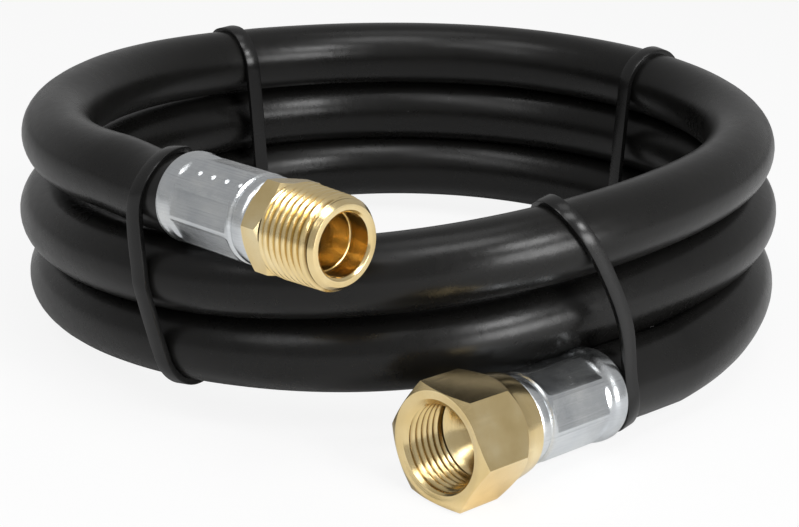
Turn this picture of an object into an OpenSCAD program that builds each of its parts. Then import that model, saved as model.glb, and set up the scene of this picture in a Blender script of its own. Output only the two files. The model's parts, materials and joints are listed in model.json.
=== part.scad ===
// Coiled gas supply hose with crimped end fittings, held in a coil by cable ties.
// Millimetres, +Z up, standing on the undersides of its ties.

/* [Hose] */
// Outside diameter of the hose
hose_od = 14.6; // [14:0.1:14.8]
// Bore of the hose
hose_bore = 9.5; // [9:0.1:9.8]
// Thickness of the inner tube's wall
liner_wall = 0.8; // [0.6:0.05:0.9]
// Thickness of the reinforcing braid
braid_wall = 0.6; // [0.4:0.05:0.7]
// Outside diameter of the hose where the ferrules squeeze it
crimped_od = 14; // [13.8:0.1:14.1]
// Sides of the hose's section
hose_sides = 6; // [6:2:8]

/* [Coil] */
// Mean radius of the coil, to the middle of the hose
coil_r = 73.4; // [71:0.2:90]
// Drop of the hose in one turn
turn_drop = 16.1; // [16:0.1:18]
// Rings of the hose's surface in each turn
rings_per_turn = 24; // [24:4:32]
// Winding angle at which the hose straightens towards the male end
male_leaves = 2.4; // [0:0.2:3]
// Winding angle at which the hose straightens towards the swivel end
swivel_leaves = 993; // [990:0.2:996]
// Straight hose between the coil and the male ferrule
male_straight = 20; // [19.5:0.5:25]
// Upward tilt of the male end
male_rise = -1.1; // [-2:0.1:0]
// Straight hose between the coil and the swivel end's ferrule
swivel_straight = 22; // [20.5:0.5:26]
// Upward tilt of the swivel end
swivel_rise = 3.8; // [2:0.2:6]

/* [Ferrules] */
// Length of the male end's ferrule
male_ferrule_l = 24.3; // [24:0.1:27]
// Radius of the male ferrule's body
male_ferrule_r = 8.15; // [8.1:0.05:8.4]
// Length of the swivel end's ferrule
swivel_ferrule_l = 23.8; // [23.5:0.1:27]
// Radius of the swivel ferrule's body
swivel_ferrule_r = 8.6; // [8.4:0.05:8.8]
// How far a ferrule's rear lip stands out from its body
lip_h = 0.45; // [0.4:0.05:0.55]
// Depth of the crimped flats below the round body, at their middle
crimp_depth = 0.42; // [0.3:0.02:0.45]
// Number of crimped flats
crimp_flats = 8; // [6:1:10]
// Thickness of a ferrule's front wall
ferrule_front = 1.5; // [1.2:0.1:2]
// Number of raised dots on the male ferrule
dot_count = 4; // [0:1:5]
// Distance between the dots
dot_pitch = 3.6; // [3:0.1:3.8]

/* [Male fitting] */
// Width of the male hexagon across its flats
male_hex_af = 15.9; // [15.5:0.1:17.5]
// Length of the male hexagon
male_hex_l = 5; // [4:0.5:8]
// Radius of the taper thread's crests at its middle
pipe_crest_r = 8.38; // [8.3:0.02:8.5]
// Pitch of the taper thread
pipe_pitch = 1.411; // [1.3:0.001:1.5]
// Number of crests on the taper thread
pipe_crests = 8; // [6:1:10]
// Bore of the male mouth
male_mouth_r = 5.55; // [5.3:0.05:5.8]
// Depth of the male mouth's wide bore
male_mouth_depth = 4.4; // [3:0.1:6]

/* [Swivel nut] */
// Width of the nut across its flats
nut_af = 20.6; // [20.2:0.1:22]
// Length of the nut, collar included
nut_l = 17.4; // [17:0.1:20]
// Length of the round collar behind the nut's flats
nut_collar_l = 4.9; // [4:0.1:5.5]
// Length over which the nut's corners rise behind its flats
nut_rise_l = 2.3; // [1.5:0.1:3]
// Length of the turned corners at the nut's front
nut_front_l = 0.9; // [0.6:0.1:1.4]
// Radius of the nut's thread at its crests
flare_crest_r = 7.3; // [7.2:0.02:7.4]
// Radius of the nut's thread at its roots
flare_root_r = 7.94; // [7.9:0.02:8.1]
// Pitch of the nut's thread
flare_pitch = 1.411; // [1.3:0.001:1.45]
// Number of crests in the nut
flare_crests = 6; // [4:1:6]
// Radius of the funnel's mouth in the seat
seat_r = 6.6; // [6.2:0.1:6.8]
// Gap between the nut and the pieces that hold it
swivel_gap = 0.3; // [0.2:0.05:0.4]

/* [Stems] */
// Radius of the gas way through both fittings
gas_r = 3; // [2.5:0.1:3.2]
// Radius over the barbs in the hose
barb_r = 4.6; // [4.5:0.05:4.65]
// Distance between barbs
barb_pitch = 4.5; // [3.5:0.1:5]
// Length of a stem's tail inside the ferrule's bore
tail_l = 20; // [18:0.5:20.5]

/* [Ties] */
// Width of a tie's strap
tie_w = 3.6; // [3:0.1:4.8]
// Thickness of a tie's strap
tie_t = 1.3; // [1:0.1:1.5]
// Side of a tie's head
tie_head = 6.6; // [6:0.2:8]
// Height of a tie's head
tie_head_h = 4.6; // [4:0.2:6]

/* [Hidden] */
$fn = 48;
fit_gap = 0.05;
tie_gap = 0.35;

// The coil starts here, seen from above, and winds clockwise on its way down
start_angle = -132.5;
// Where the ties pull the hose in or let it out: winding angle, distance, spread
pulls = [[0, 0.8, 50], [60, -3.4, 30], [115, -4, 42], [200, 1.1, 40], [270, -3.7, 32],
  [350, 2.2, 40], [480, 0.6, 40], [560, 2.9, 45], [640, -7.7, 34], [720, -0.4, 40],
  [900, 1.1, 50], [1000, -1.2, 40]];
// Where the hose hangs below its even drop: winding angle, distance, spread
sags = [[0, -1.25, 40], [60, 0.9, 35], [137, -0.05, 50], [220, -1.2, 50], [290, 0.75, 35],
  [340, -1.5, 35], [400, -1.15, 40], [500, -0.1, 50], [640, 0.45, 34], [740, 0.2, 40],
  [860, 1, 50], [940, 1.25, 30], [975, 0.7, 30]];
// Lean of the coil as it lies on a table, about X and then about Y
lean = [-0.5, -4.44];

function total(v, i = 0) = i < len(v) ? v[i] + total(v, i + 1) : 0;
function bells(list, p) = total([for (b = list) b[1] * exp(-pow((p - b[0]) / b[2], 2))]);
function unit(v) = v / norm(v);
function coil_at(p) =
  let (r = coil_r + bells(pulls, p), a = start_angle - p)
  [r * cos(a), r * sin(a), bells(sags, p) - turn_drop * p / 360];
function along(p) = unit(coil_at(p + 0.5) - coil_at(p - 0.5));
function bearing(v) = atan2(v[1], v[0]);
function pointing(az, rise) = [cos(az) * cos(rise), sin(az) * cos(rise), sin(rise)];

// Each end: direction out of the hose, and the middle of the ferrule's rear face
male_az = bearing(-along(male_leaves));
male_dir = pointing(male_az, male_rise);
male_at = coil_at(male_leaves) + male_straight * male_dir;
swivel_az = bearing(along(swivel_leaves));
swivel_dir = pointing(swivel_az, swivel_rise);
swivel_at = coil_at(swivel_leaves) + swivel_straight * swivel_dir;

// Hose layers, each [inner radius, outer radius], free and then inside a ferrule
layers_free = [[hose_bore / 2, hose_bore / 2 + liner_wall],
  [hose_bore / 2 + liner_wall, hose_bore / 2 + liner_wall + braid_wall],
  [hose_bore / 2 + liner_wall + braid_wall, hose_od / 2]];
squeezed_bore = (barb_r + fit_gap) / cos(180 / hose_sides);
squeeze = (crimped_od / 2 - squeezed_bore) / (hose_od / 2 - hose_bore / 2);
function squeezed(r) = squeezed_bore + (r - hose_bore / 2) * squeeze;
squeeze_l = 4;

// Rings of the hose: [middle, direction, squeezed or not]
turn_rings = ceil((swivel_leaves - male_leaves) * rings_per_turn / 360);
turn_step = (swivel_leaves - male_leaves) / turn_rings;
hose_rings = concat(
  [for (s = [tail_l + fit_gap, squeeze_l]) [male_at + s * male_dir, -male_dir, true]],
  [for (s = [0, -hose_od]) [male_at + s * male_dir, -male_dir, false]],
  [for (i = [0:turn_rings]) let (p = male_leaves + i * turn_step) [coil_at(p), along(p), false]],
  [for (s = [-hose_od, 0]) [swivel_at + s * swivel_dir, swivel_dir, false]],
  [for (s = [squeeze_l, tail_l + fit_gap]) [swivel_at + s * swivel_dir, swivel_dir, true]]);

function ring_points(ring, r) =
  let (side = unit(cross(ring[1], [0, 0, 1])), up = cross(side, ring[1]))
  [for (k = [0:hose_sides - 1]) let (a = 360 * k / hose_sides)
    ring[0] + r * (cos(a) * side + sin(a) * up)];
function wall_points(free_r) =
  [for (ring = hose_rings) each ring_points(ring, ring[2] ? squeezed(free_r) : free_r)];

// Least distance between the corners of one turn and those of the next
turn_points = [for (ring = hose_rings) if (!ring[2]) ring_points(ring, hose_od / 2)];
apart = ceil(rings_per_turn * 0.7);
self_gap = min([for (i = [0:len(turn_points) - 1])
  for (j = [i + apart:1:min(len(turn_points) - 1, i + ceil(1.3 * rings_per_turn))])
    for (p = turn_points[i]) for (q = turn_points[j]) norm(p - q)]);
route_l = total([for (i = [1:len(hose_rings) - 1]) norm(hose_rings[i][0] - hose_rings[i - 1][0])]);

// Ties: [angle seen from above, tilt, winding angles of the turns inside, side of the head]
front_left = [-124, -4.5, [-8.5, 351.5, 711.5], -1];
back_left = [121.8, 4.5, [105.7, 465.7, 825.7], 1];
back_right = [37.8, -7, [189.7, 549.7, 909.7], 1];
front_right = [-61, -19.5, [288.5, 648.5, 1008.5], -1];
tie_mid_z = -28;
// A tie's plane: a point on it, directions outwards and upwards in it, and across it
function tie_mid(tie) = [coil_r * cos(tie[0]), coil_r * sin(tie[0]), tie_mid_z];
function tie_out_dir(tie) = [cos(tie[0]), sin(tie[0]), 0];
function tie_up_dir(tie) = [-sin(tie[1]) * sin(tie[0]), sin(tie[1]) * cos(tie[0]), cos(tie[1])];
function tie_across(tie) = [-cos(tie[1]) * sin(tie[0]), cos(tie[1]) * cos(tie[0]), -sin(tie[1])];
// Where straight hose crosses a tie's plane: outwards and upwards from the plane's point,
// and the oval that the plane cuts from it, as the bearing of its long axis and its stretch
function past(tie, from, dir) =
  let (n = tie_across(tie), q = from - tie_mid(tie), p = q - (q * n) / (dir * n) * dir)
  [p * tie_out_dir(tie), p * tie_up_dir(tie),
    atan2(dir * tie_up_dir(tie), dir * tie_out_dir(tie)), 1 / abs(dir * n)];
function crossing(tie, turn) =
  let (p = turn - (coil_at(turn)[2] - tie_mid_z) * tan(tie[1]) / coil_r * 180 / PI)
  p < male_leaves ? past(tie, coil_at(male_leaves), male_dir)
  : p > swivel_leaves ? past(tie, coil_at(swivel_leaves), swivel_dir)
  : let (from = male_leaves + floor((p - male_leaves) / turn_step) * turn_step, q = coil_at(from))
    past(tie, q, unit(coil_at(from + turn_step) - q));
function in_tie(tie) = [for (turn = tie[2]) crossing(tie, turn)];

// Widths and corners of the fittings
function corner_r(af) = af / 2 / cos(30);
male_tip = male_ferrule_l + male_hex_l + (pipe_crests + 0.5) * pipe_pitch;
crest_flat = pipe_pitch * 0.16;
pipe_depth = 0.8;
nut_from = swivel_ferrule_l + swivel_gap;
nut_to = nut_from + nut_l;
mouth_flare = 1.5;
shoulder_l = 2.6;
shoulder_to = nut_from + shoulder_l;
thread_to = nut_to - mouth_flare;
thread_from = thread_to - flare_crests * flare_pitch;
seat_face = thread_from - 0.4;
neck_r = 5.4;
male_corner = -103;
swivel_corner = 146;
nut_face_r = nut_af / 2 - 0.1;
nut_turned_r = corner_r(nut_af) + 0.05;

// The part's footprint, from the outermost points of its turns, ties and nut
function leaned(p) =
  let (a = [p[0], p[1] * cos(lean[0]) - p[2] * sin(lean[0]), p[1] * sin(lean[0]) + p[2] * cos(lean[0])])
  [a[0] * cos(lean[1]) + a[2] * sin(lean[1]), a[1], a[2] * cos(lean[1]) - a[0] * sin(lean[1])];
cover_points = [for (p = wall_points(hose_od / 2)) leaned(p)];
nut_side = [-sin(swivel_az), cos(swivel_az), 0];
nut_down = cross(nut_side, swivel_dir);
function on_nut(s, r, a) =
  leaned(swivel_at + s * swivel_dir + r * (cos(a) * nut_down + sin(a) * nut_side));
nut_edges = concat(
  [for (s = [nut_from + nut_collar_l + nut_rise_l, nut_to - nut_front_l]) for (a = [0:60:300])
    on_nut(s, corner_r(nut_af), swivel_corner + a)],
  [for (a = [0:7.5:352.5]) on_nut(nut_to, nut_face_r, a)]);
tie_out = hose_od / 2 + tie_gap + tie_t;
function tie_low(tie) =
  let (c = in_tie(tie)[2], n = leaned(tie_across(tie))[2],
    across = leaned(tie_out_dir(tie))[2], up = leaned(tie_up_dir(tie))[2],
    long = cos(c[2]) * across + sin(c[2]) * up, short = cos(c[2]) * up - sin(c[2]) * across)
  leaned(tie_mid(tie))[2] + c[0] * across + c[1] * up
    - tie_out * norm([long * c[3], short]) - tie_w / 2 * abs(n);
foot = [(min([for (p = cover_points) p[0]]) + max([for (p = cover_points) p[0]])) / 2,
  (min([for (p = nut_edges) p[1]]) + max([for (p = cover_points) p[1]])) / 2,
  min(concat([for (t = [front_left, back_left, back_right, front_right]) tie_low(t)],
    [for (p = nut_edges) p[2]]))];

echo(self_gap = self_gap, route_l = route_l, foot = foot);
echo(male_at = leaned(male_at) - foot, male_dir = leaned(male_dir), male_tip = male_tip);
echo(swivel_at = leaned(swivel_at) - foot, swivel_dir = leaned(swivel_dir), nut_to = nut_to);
echo(thread_from = thread_from, thread_to = thread_to, male_az = male_az, swivel_az = swivel_az);

module stand() {
  translate(-foot)
    rotate([0, lean[1], 0])
      rotate([lean[0], 0, 0])
        children();
}

// Puts a fitting drawn along +Z, with its hose behind it, at one end of the hose
module at_male() {
  stand()
    translate(male_at)
      rotate([0, 90 - male_rise, male_az])
        children();
}

module at_swivel() {
  stand()
    translate(swivel_at)
      rotate([0, 90 - swivel_rise, swivel_az])
        children();
}

// A tube along the whole hose between two radii, open at both ends
module hose_layer(free) {
  n = hose_sides;
  m = len(hose_rings);
  back = n * m;
  walls = [for (i = [0:m - 2]) for (k = [0:n - 1])
    let (a = i * n + k, b = i * n + (k + 1) % n)
    each [[a, b, a + n], [b, b + n, a + n],
      [back + a, back + a + n, back + b], [back + b, back + a + n, back + b + n]]];
  ends = [for (k = [0:n - 1])
    let (a = k, b = (k + 1) % n, c = (m - 1) * n + k, d = (m - 1) * n + (k + 1) % n)
    each [[a, back + a, b], [b, back + a, back + b],
      [c, d, back + c], [d, back + d, back + c]]];
  stand()
    polyhedron(points = concat(wall_points(free[1]), wall_points(free[0])), faces = concat(walls, ends));
}

module hose_cover() {
  color([0.09, 0.09, 0.09])
    hose_layer(layers_free[2]);
}

module hose_braid() {
  color([0.75, 0.74, 0.7])
    hose_layer(layers_free[1]);
}

module hose_liner() {
  color([0.2, 0.2, 0.2])
    hose_layer(layers_free[0]);
}

// Squeezed sleeve: a rolled lip behind, crimped flats along the body, a wall in front
module ferrule(l, r, flat_angle) {
  bore = crimped_od / 2 + fit_gap;
  mouth = hose_od / 2 + 0.3;
  difference() {
    rotate_extrude()
      polygon([[mouth, 0], [r + lip_h - 0.5, 0], [r + lip_h - 0.15, 0.2], [r + lip_h, 0.7],
        [r + lip_h, 2.2], [r + lip_h - 0.1, 2.8], [r, 4], [r, l - 3.6], [r - 0.45, l - 3.2],
        [r - 0.45, l - 2.8], [r - 0.2, l - 2.5], [r - 0.2, l - 0.8], [r - 0.6, l],
        [neck_r + fit_gap, l], [neck_r + fit_gap, l - ferrule_front], [bore, l - ferrule_front],
        [bore, squeeze_l], [mouth, 2.5]]);
    translate([0, 0, 5])
      difference() {
        cylinder(r = r + 3, h = l - 9);
        rotate(flat_angle + 180 / crimp_flats)
          translate([0, 0, -1])
            cylinder(r = (r - crimp_depth) / cos(180 / crimp_flats), h = l - 7, $fn = crimp_flats);
      }
  }
}

module male_ferrule() {
  dot_angle = -150;
  color([0.75, 0.77, 0.8])
    at_male() {
      ferrule(male_ferrule_l, male_ferrule_r, dot_angle);
      rotate(dot_angle)
        for (i = [0:1:dot_count - 1])
          translate([male_ferrule_r - crimp_depth - 0.3, 0, 7.2 + i * dot_pitch])
            rotate([0, 90, 0])
              cylinder(r = 0.6, h = 0.55, $fn = 24);
    }
}

module swivel_ferrule() {
  color([0.75, 0.77, 0.8])
    at_swivel()
      ferrule(swivel_ferrule_l, swivel_ferrule_r, 107.5);
}

// Half outline of a stem's barbed tail, from its inner end forwards, without the bore
function tail_outline() = concat(
  [[gas_r, 2.5], [barb_r - 0.7, 2.5]],
  [for (i = [0:3]) each [[barb_r, 2.5 + (i + 0.7) * barb_pitch * 0.9],
    [barb_r, 2.5 + (i + 0.8) * barb_pitch * 0.9],
    [barb_r - 0.6, 2.5 + (i + 0.85) * barb_pitch * 0.9]]],
  [[barb_r - 0.6, tail_l + 0.2], [neck_r, tail_l + 0.2]]);

// A hexagon with its corners turned off at both ends
module hex_bar(af, l, face_r) {
  intersection() {
    cylinder(r = corner_r(af), h = l, $fn = 6);
    rotate_extrude()
      polygon([[0, 0], [face_r, 0], [face_r + 2 * 1.2, 1.2], [face_r + 2 * 1.2, l - 1.2],
        [face_r, l], [0, l]]);
  }
}

module male_stem() {
  hex_to = male_ferrule_l + male_hex_l;
  first = hex_to + pipe_pitch;
  middle = (pipe_crests - 1) / 2;
  function crest(i) = pipe_crest_r - (i - middle) * pipe_pitch / 32;
  // The four middle crests are straight lands, and the others follow the taper
  function slant(i) = abs(i - middle) < 2 ? 0 : crest_flat / 64;
  ridges = [for (i = [0:pipe_crests - 1]) let (z = first + i * pipe_pitch, r = crest(i))
    each [[r - pipe_depth, z - pipe_pitch / 2], [r + slant(i), z - crest_flat / 2],
      [r - slant(i), z + crest_flat / 2]]];
  color([0.83, 0.68, 0.35])
    at_male()
      difference() {
        union() {
          rotate_extrude()
            polygon(concat(tail_outline(),
              [[neck_r, male_ferrule_l + fit_gap], [7, male_ferrule_l + fit_gap], [7, hex_to + 0.3]],
              ridges,
              [[crest(pipe_crests) - pipe_depth, male_tip - 1], [pipe_crest_r - 0.4, male_tip - 0.9],
                [pipe_crest_r - 0.5, male_tip - 0.3], [pipe_crest_r - 0.8, male_tip], [gas_r, male_tip]]));
          translate([0, 0, male_ferrule_l + fit_gap])
            rotate(male_corner)
              hex_bar(male_hex_af, male_hex_l - fit_gap, male_hex_af / 2 - 0.05);
        }
        rotate_extrude()
          polygon([[0, 2], [gas_r, 2], [gas_r, hex_to - 2], [male_mouth_r - 0.3, hex_to],
            [male_mouth_r - 0.3, male_tip - male_mouth_depth], [male_mouth_r, male_tip - male_mouth_depth],
            [male_mouth_r, male_tip - 0.4], [male_mouth_r + 0.5, male_tip + 0.1], [0, male_tip + 0.1]]);
      }
}

module swivel_stem() {
  flange_from = shoulder_to + swivel_gap;
  flange_r = flare_crest_r - swivel_gap;
  funnel = seat_r - gas_r;
  color([0.83, 0.68, 0.35])
    at_swivel()
      rotate_extrude()
        polygon(concat(tail_outline(),
          [[neck_r, flange_from], [flange_r, flange_from], [flange_r, seat_face - 0.2],
            [flange_r - 0.2, seat_face], [seat_r, seat_face], [gas_r, seat_face - funnel]]));
}

module swivel_nut() {
  cut_mouth_r = flare_root_r + mouth_flare;
  crests = [for (i = [0:flare_crests - 1]) let (z = thread_from + (i + 0.5) * flare_pitch)
    each [[flare_root_r, z - flare_pitch / 2 + 0.08], [flare_crest_r, z - 0.12], [flare_crest_r, z + 0.12],
      [flare_root_r, z + flare_pitch / 2 - 0.08]]];
  color([0.83, 0.68, 0.35])
    at_swivel()
      difference() {
        translate([0, 0, nut_from])
          intersection() {
            rotate(swivel_corner)
              cylinder(r = corner_r(nut_af), h = nut_l, $fn = 6);
            rotate_extrude()
              polygon([[0, 0], [nut_face_r - 1.1, 0], [nut_face_r - 0.7, 0.4], [nut_face_r, nut_collar_l],
                [nut_turned_r, nut_collar_l + nut_rise_l], [nut_turned_r, nut_l - nut_front_l],
                [nut_face_r, nut_l], [0, nut_l]]);
          }
        rotate_extrude()
          polygon(concat(
            [[0, nut_from - 1], [neck_r + 0.1, nut_from - 1], [neck_r + 0.1, shoulder_to],
              [flare_root_r, shoulder_to], [flare_root_r, thread_from]],
            crests,
            [[flare_root_r, thread_to], [cut_mouth_r, nut_to], [cut_mouth_r, nut_to + 1], [0, nut_to + 1]]));
      }
}

// Outline of a strap at a distance from the middle of the hose, round a stack of turns
module strap_outline(turns, r) {
  hull()
    for (c = turns)
      translate([c[0], c[1]])
        rotate(c[2])
          scale([c[3], 1])
            circle(r = r);
}

// Strap round a stack of turns, with its head and cut tail on the stack's hidden side
module tie(spec) {
  turns = in_tie(spec);
  inner = hose_od / 2 + tie_gap;
  side = spec[3];
  upper = turns[1];
  lower = turns[2];
  lie = atan2(lower[0] - upper[0], upper[1] - lower[1]);
  middle = (upper + lower) / 2;
  stand()
    translate(tie_mid(spec))
      rotate([90 - spec[1], 0, spec[0]])
        translate([0, 0, -tie_w / 2]) {
          difference() {
            linear_extrude(tie_w)
              strap_outline(turns, inner + tie_t);
            translate([0, 0, -1])
              linear_extrude(tie_w + 2)
                strap_outline(turns, inner);
          }
          translate([middle[0], middle[1], tie_w / 2])
            rotate(lie)
              translate([side * (inner + tie_t / 2 + tie_head_h / 2), 0, 0]) {
                cube([tie_head_h, tie_head, tie_head], center = true);
                translate([0, -tie_head / 2 - 1.5, 0])
                  cube([tie_t, 4, tie_w], center = true);
              }
        }
}

module tie_front_left() {
  color([0.06, 0.06, 0.06])
    tie(front_left);
}

module tie_back_left() {
  color([0.06, 0.06, 0.06])
    tie(back_left);
}

module tie_back_right() {
  color([0.06, 0.06, 0.06])
    tie(back_right);
}

module tie_front_right() {
  color([0.06, 0.06, 0.06])
    tie(front_right);
}

hose_cover();
hose_braid();
hose_liner();
male_ferrule();
male_stem();
swivel_ferrule();
swivel_stem();
swivel_nut();
tie_front_left();
tie_back_left();
tie_back_right();
tie_front_right();
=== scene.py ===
"""Coiled gas supply hose with crimped fittings and cable ties, dressed over its CAD frame."""

import json
from math import atan2, ceil, cos, degrees, exp, floor, pi, radians, sin, sqrt

import bmesh
import bpy
from mathutils import Matrix, Vector, noise

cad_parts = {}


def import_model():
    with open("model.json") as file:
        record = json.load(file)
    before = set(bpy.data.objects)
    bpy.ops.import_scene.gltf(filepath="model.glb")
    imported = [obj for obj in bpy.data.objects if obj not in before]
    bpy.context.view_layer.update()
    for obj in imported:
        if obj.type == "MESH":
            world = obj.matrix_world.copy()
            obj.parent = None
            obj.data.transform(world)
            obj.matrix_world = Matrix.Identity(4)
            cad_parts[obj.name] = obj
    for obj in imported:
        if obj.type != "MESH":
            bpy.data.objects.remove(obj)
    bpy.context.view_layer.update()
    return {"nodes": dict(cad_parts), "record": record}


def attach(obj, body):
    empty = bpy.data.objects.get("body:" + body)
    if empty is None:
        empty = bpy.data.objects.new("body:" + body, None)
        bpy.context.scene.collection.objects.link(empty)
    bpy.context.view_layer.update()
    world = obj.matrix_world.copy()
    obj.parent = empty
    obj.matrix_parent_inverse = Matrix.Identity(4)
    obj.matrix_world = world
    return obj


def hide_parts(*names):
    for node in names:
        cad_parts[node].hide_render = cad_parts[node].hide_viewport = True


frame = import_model()
MM = 0.001

# ---------------------------------------------------------------- the part's own numbers
# Millimetres and degrees, as in the part's source.
HOSE_R, CRIMPED_R = 7.3, 7.0
# The coil: radius, drop of each turn, bearing at which the winding starts. The pulls change the
# radius and the sags the height, each round a winding angle: (angle, how far, spread).
COIL_R, DROP, START = 73.4, 16.1, -132.5
PULLS = [(0, 0.8, 50), (60, -3.4, 30), (115, -4, 42), (200, 1.1, 40), (270, -3.7, 32),
         (350, 2.2, 40), (480, 0.6, 40), (560, 2.9, 45), (640, -7.7, 34), (720, -0.4, 40),
         (900, 1.1, 50), (1000, -1.2, 40)]
SAGS = [(0, -1.25, 40), (60, 0.9, 35), (137, -0.05, 50), (220, -1.2, 50), (290, 0.75, 35),
        (340, -1.5, 35), (400, -1.15, 40), (500, -0.1, 50), (640, 0.45, 34), (740, 0.2, 40),
        (860, 1, 50), (940, 1.25, 30), (975, 0.7, 30)]
# Each end: the winding angle at which it leaves the coil, its straight length, its slope
MALE_LEAVES, MALE_STRAIGHT, MALE_RISE = 2.4, 20, -1.1
SWIVEL_LEAVES, SWIVEL_STRAIGHT, SWIVEL_RISE = 993, 22, 3.8
# How the coil lies on the floor, turned about X and then about Y
LEAN = (-0.5, -4.44)
# How far the hose goes into each ferrule, and the pitch of both threads
TAIL = 20.05
PITCH = 1.411
# Along a fitting, s runs out of the hose from the ferrule's rear face. A hexagon has its size
# over flats and the bearing of a corner.
MALE_FERRULE_L, MALE_BODY_R, MALE_FLAT = 24.3, 8.15, -150
MALE_HEX, MALE_CORNER, MALE_HEX_TO, MALE_TIP = 15.9, -103, 29.3, 41.2935
SWIVEL_FERRULE_L, SWIVEL_BODY_R, SWIVEL_FLAT = 23.8, 8.6, 107.5
NUT_HEX, NUT_CORNER, NUT_FROM, NUT_L = 20.6, 146, 24.1, 17.4
CRIMP_DEPTH, CRIMP_FLATS = 0.42, 8
DOTS, DOTS_FROM, DOT_PITCH = 4, 8.6, 3.6
# Ties: angle seen from above, tilt, side of the head (1 outside the coil, -1 inside it)
TIES = {"tie_front_left": (-124, -4.5, -1),
        "tie_back_left": (121.8, 4.5, 1),
        "tie_back_right": (37.8, -7, 1),
        "tie_front_right": (-61, -19.5, -1)}
# Height of the ties' middles in the coil, a strap's thickness, a head's length and height
TIE_MID_Z, TIE_T, TIE_HEAD, TIE_HEAD_H = -28, 1.3, 6.6, 4.6
# A strap's width, and how far it drifts along the hose at heights 12 mm apart, lowest first
DRIFTS = {"tie_front_left": (3.1, (0.5, 0.5, 0.4, -0.2, -0.2, 0.5, 4.4)),
          "tie_back_left": (3.4, (-0.12, 0.33, 0.77, 1.22, 1.64, 2.4, 2.97)),
          "tie_back_right": (3.3, (-0.5, -0.5, -0.5, -0.5, -0.5, -0.5, -0.5)),
          "tie_front_right": (2.9, (-3.8, -4.0, -1.7, 1.85, 1.8, -0.2, -0.2))}


def bells(items, p):
    return sum(b[1] * exp(-((p - b[0]) / b[2]) ** 2) for b in items)


def coil_at(p):
    r, a = COIL_R + bells(PULLS, p), radians(START - p)
    return Vector((r * cos(a), r * sin(a), bells(SAGS, p) - DROP * p / 360))


def along(p):
    return (coil_at(p + 0.5) - coil_at(p - 0.5)).normalized()


def pointing(bearing, rise):
    return Vector((cos(bearing) * cos(radians(rise)), sin(bearing) * cos(radians(rise)),
                   sin(radians(rise))))


def leaned(v):
    a, b = radians(LEAN[0]), radians(LEAN[1])
    v = Vector((v[0], v[1] * cos(a) - v[2] * sin(a), v[1] * sin(a) + v[2] * cos(a)))
    return Vector((v[0] * cos(b) + v[2] * sin(b), v[1], v[2] * cos(b) - v[0] * sin(b)))


MALE_AZ = atan2(-along(MALE_LEAVES)[1], -along(MALE_LEAVES)[0])
MALE_DIR = pointing(MALE_AZ, MALE_RISE)
MALE_AT = coil_at(MALE_LEAVES) + MALE_STRAIGHT * MALE_DIR
SWIVEL_AZ = atan2(along(SWIVEL_LEAVES)[1], along(SWIVEL_LEAVES)[0])
SWIVEL_DIR = pointing(SWIVEL_AZ, SWIVEL_RISE)
SWIVEL_AT = coil_at(SWIVEL_LEAVES) + SWIVEL_STRAIGHT * SWIVEL_DIR

# The coil's own origin in the row frame, from where the record says the male thread is
THREAD_S = MALE_HEX_TO + 4.5 * PITCH
male_mount = [m for m in frame["record"]["mounts"] if m["name"] == "male_thread"][0]
FOOT = (leaned(MALE_AT) - Vector(male_mount["pos_m"]) / MM
        + THREAD_S * Vector(male_mount["axis"]))


def place(v):
    """A point of the coil, in millimetres, to the row frame, in metres."""
    return (leaned(v) - FOOT) * MM


# ---------------------------------------------------------------- camera
CAM_EL, CAM_ROLL, CAM_LENS = 18.88, -1.496, 80.68
CAM_AT = Vector((-0.502, -375.81, 89.856))


def make_camera():
    data = bpy.data.cameras.new("view")
    data.sensor_fit, data.sensor_width, data.lens = "HORIZONTAL", 36, CAM_LENS
    data.clip_start, data.clip_end = 0.01, 20
    cam = bpy.data.objects.new("view", data)
    bpy.context.scene.collection.objects.link(cam)
    el, roll = radians(CAM_EL), radians(CAM_ROLL)
    back = Vector((0, -cos(el), sin(el)))
    right = Vector((0, 0, 1)).cross(back).normalized()
    up = back.cross(right)
    r2 = right * cos(roll) + up * sin(roll)
    u2 = up * cos(roll) - right * sin(roll)
    m = Matrix([leaned(r2), leaned(u2), leaned(back)]).transposed().to_4x4()
    m.translation = place(CAM_AT)
    cam.matrix_world = m
    bpy.context.scene.camera = cam


make_camera()


# ---------------------------------------------------------------- materials
def math_node(tree, operation, a, b):
    """A math node in a tree; a and b are numbers or sockets."""
    node = tree.nodes.new("ShaderNodeMath")
    node.operation = operation
    for socket, value in zip(node.inputs, (a, b)):
        if isinstance(value, (int, float)):
            socket.default_value = value
        else:
            tree.links.new(value, socket)
    return node.outputs[0]


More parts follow.
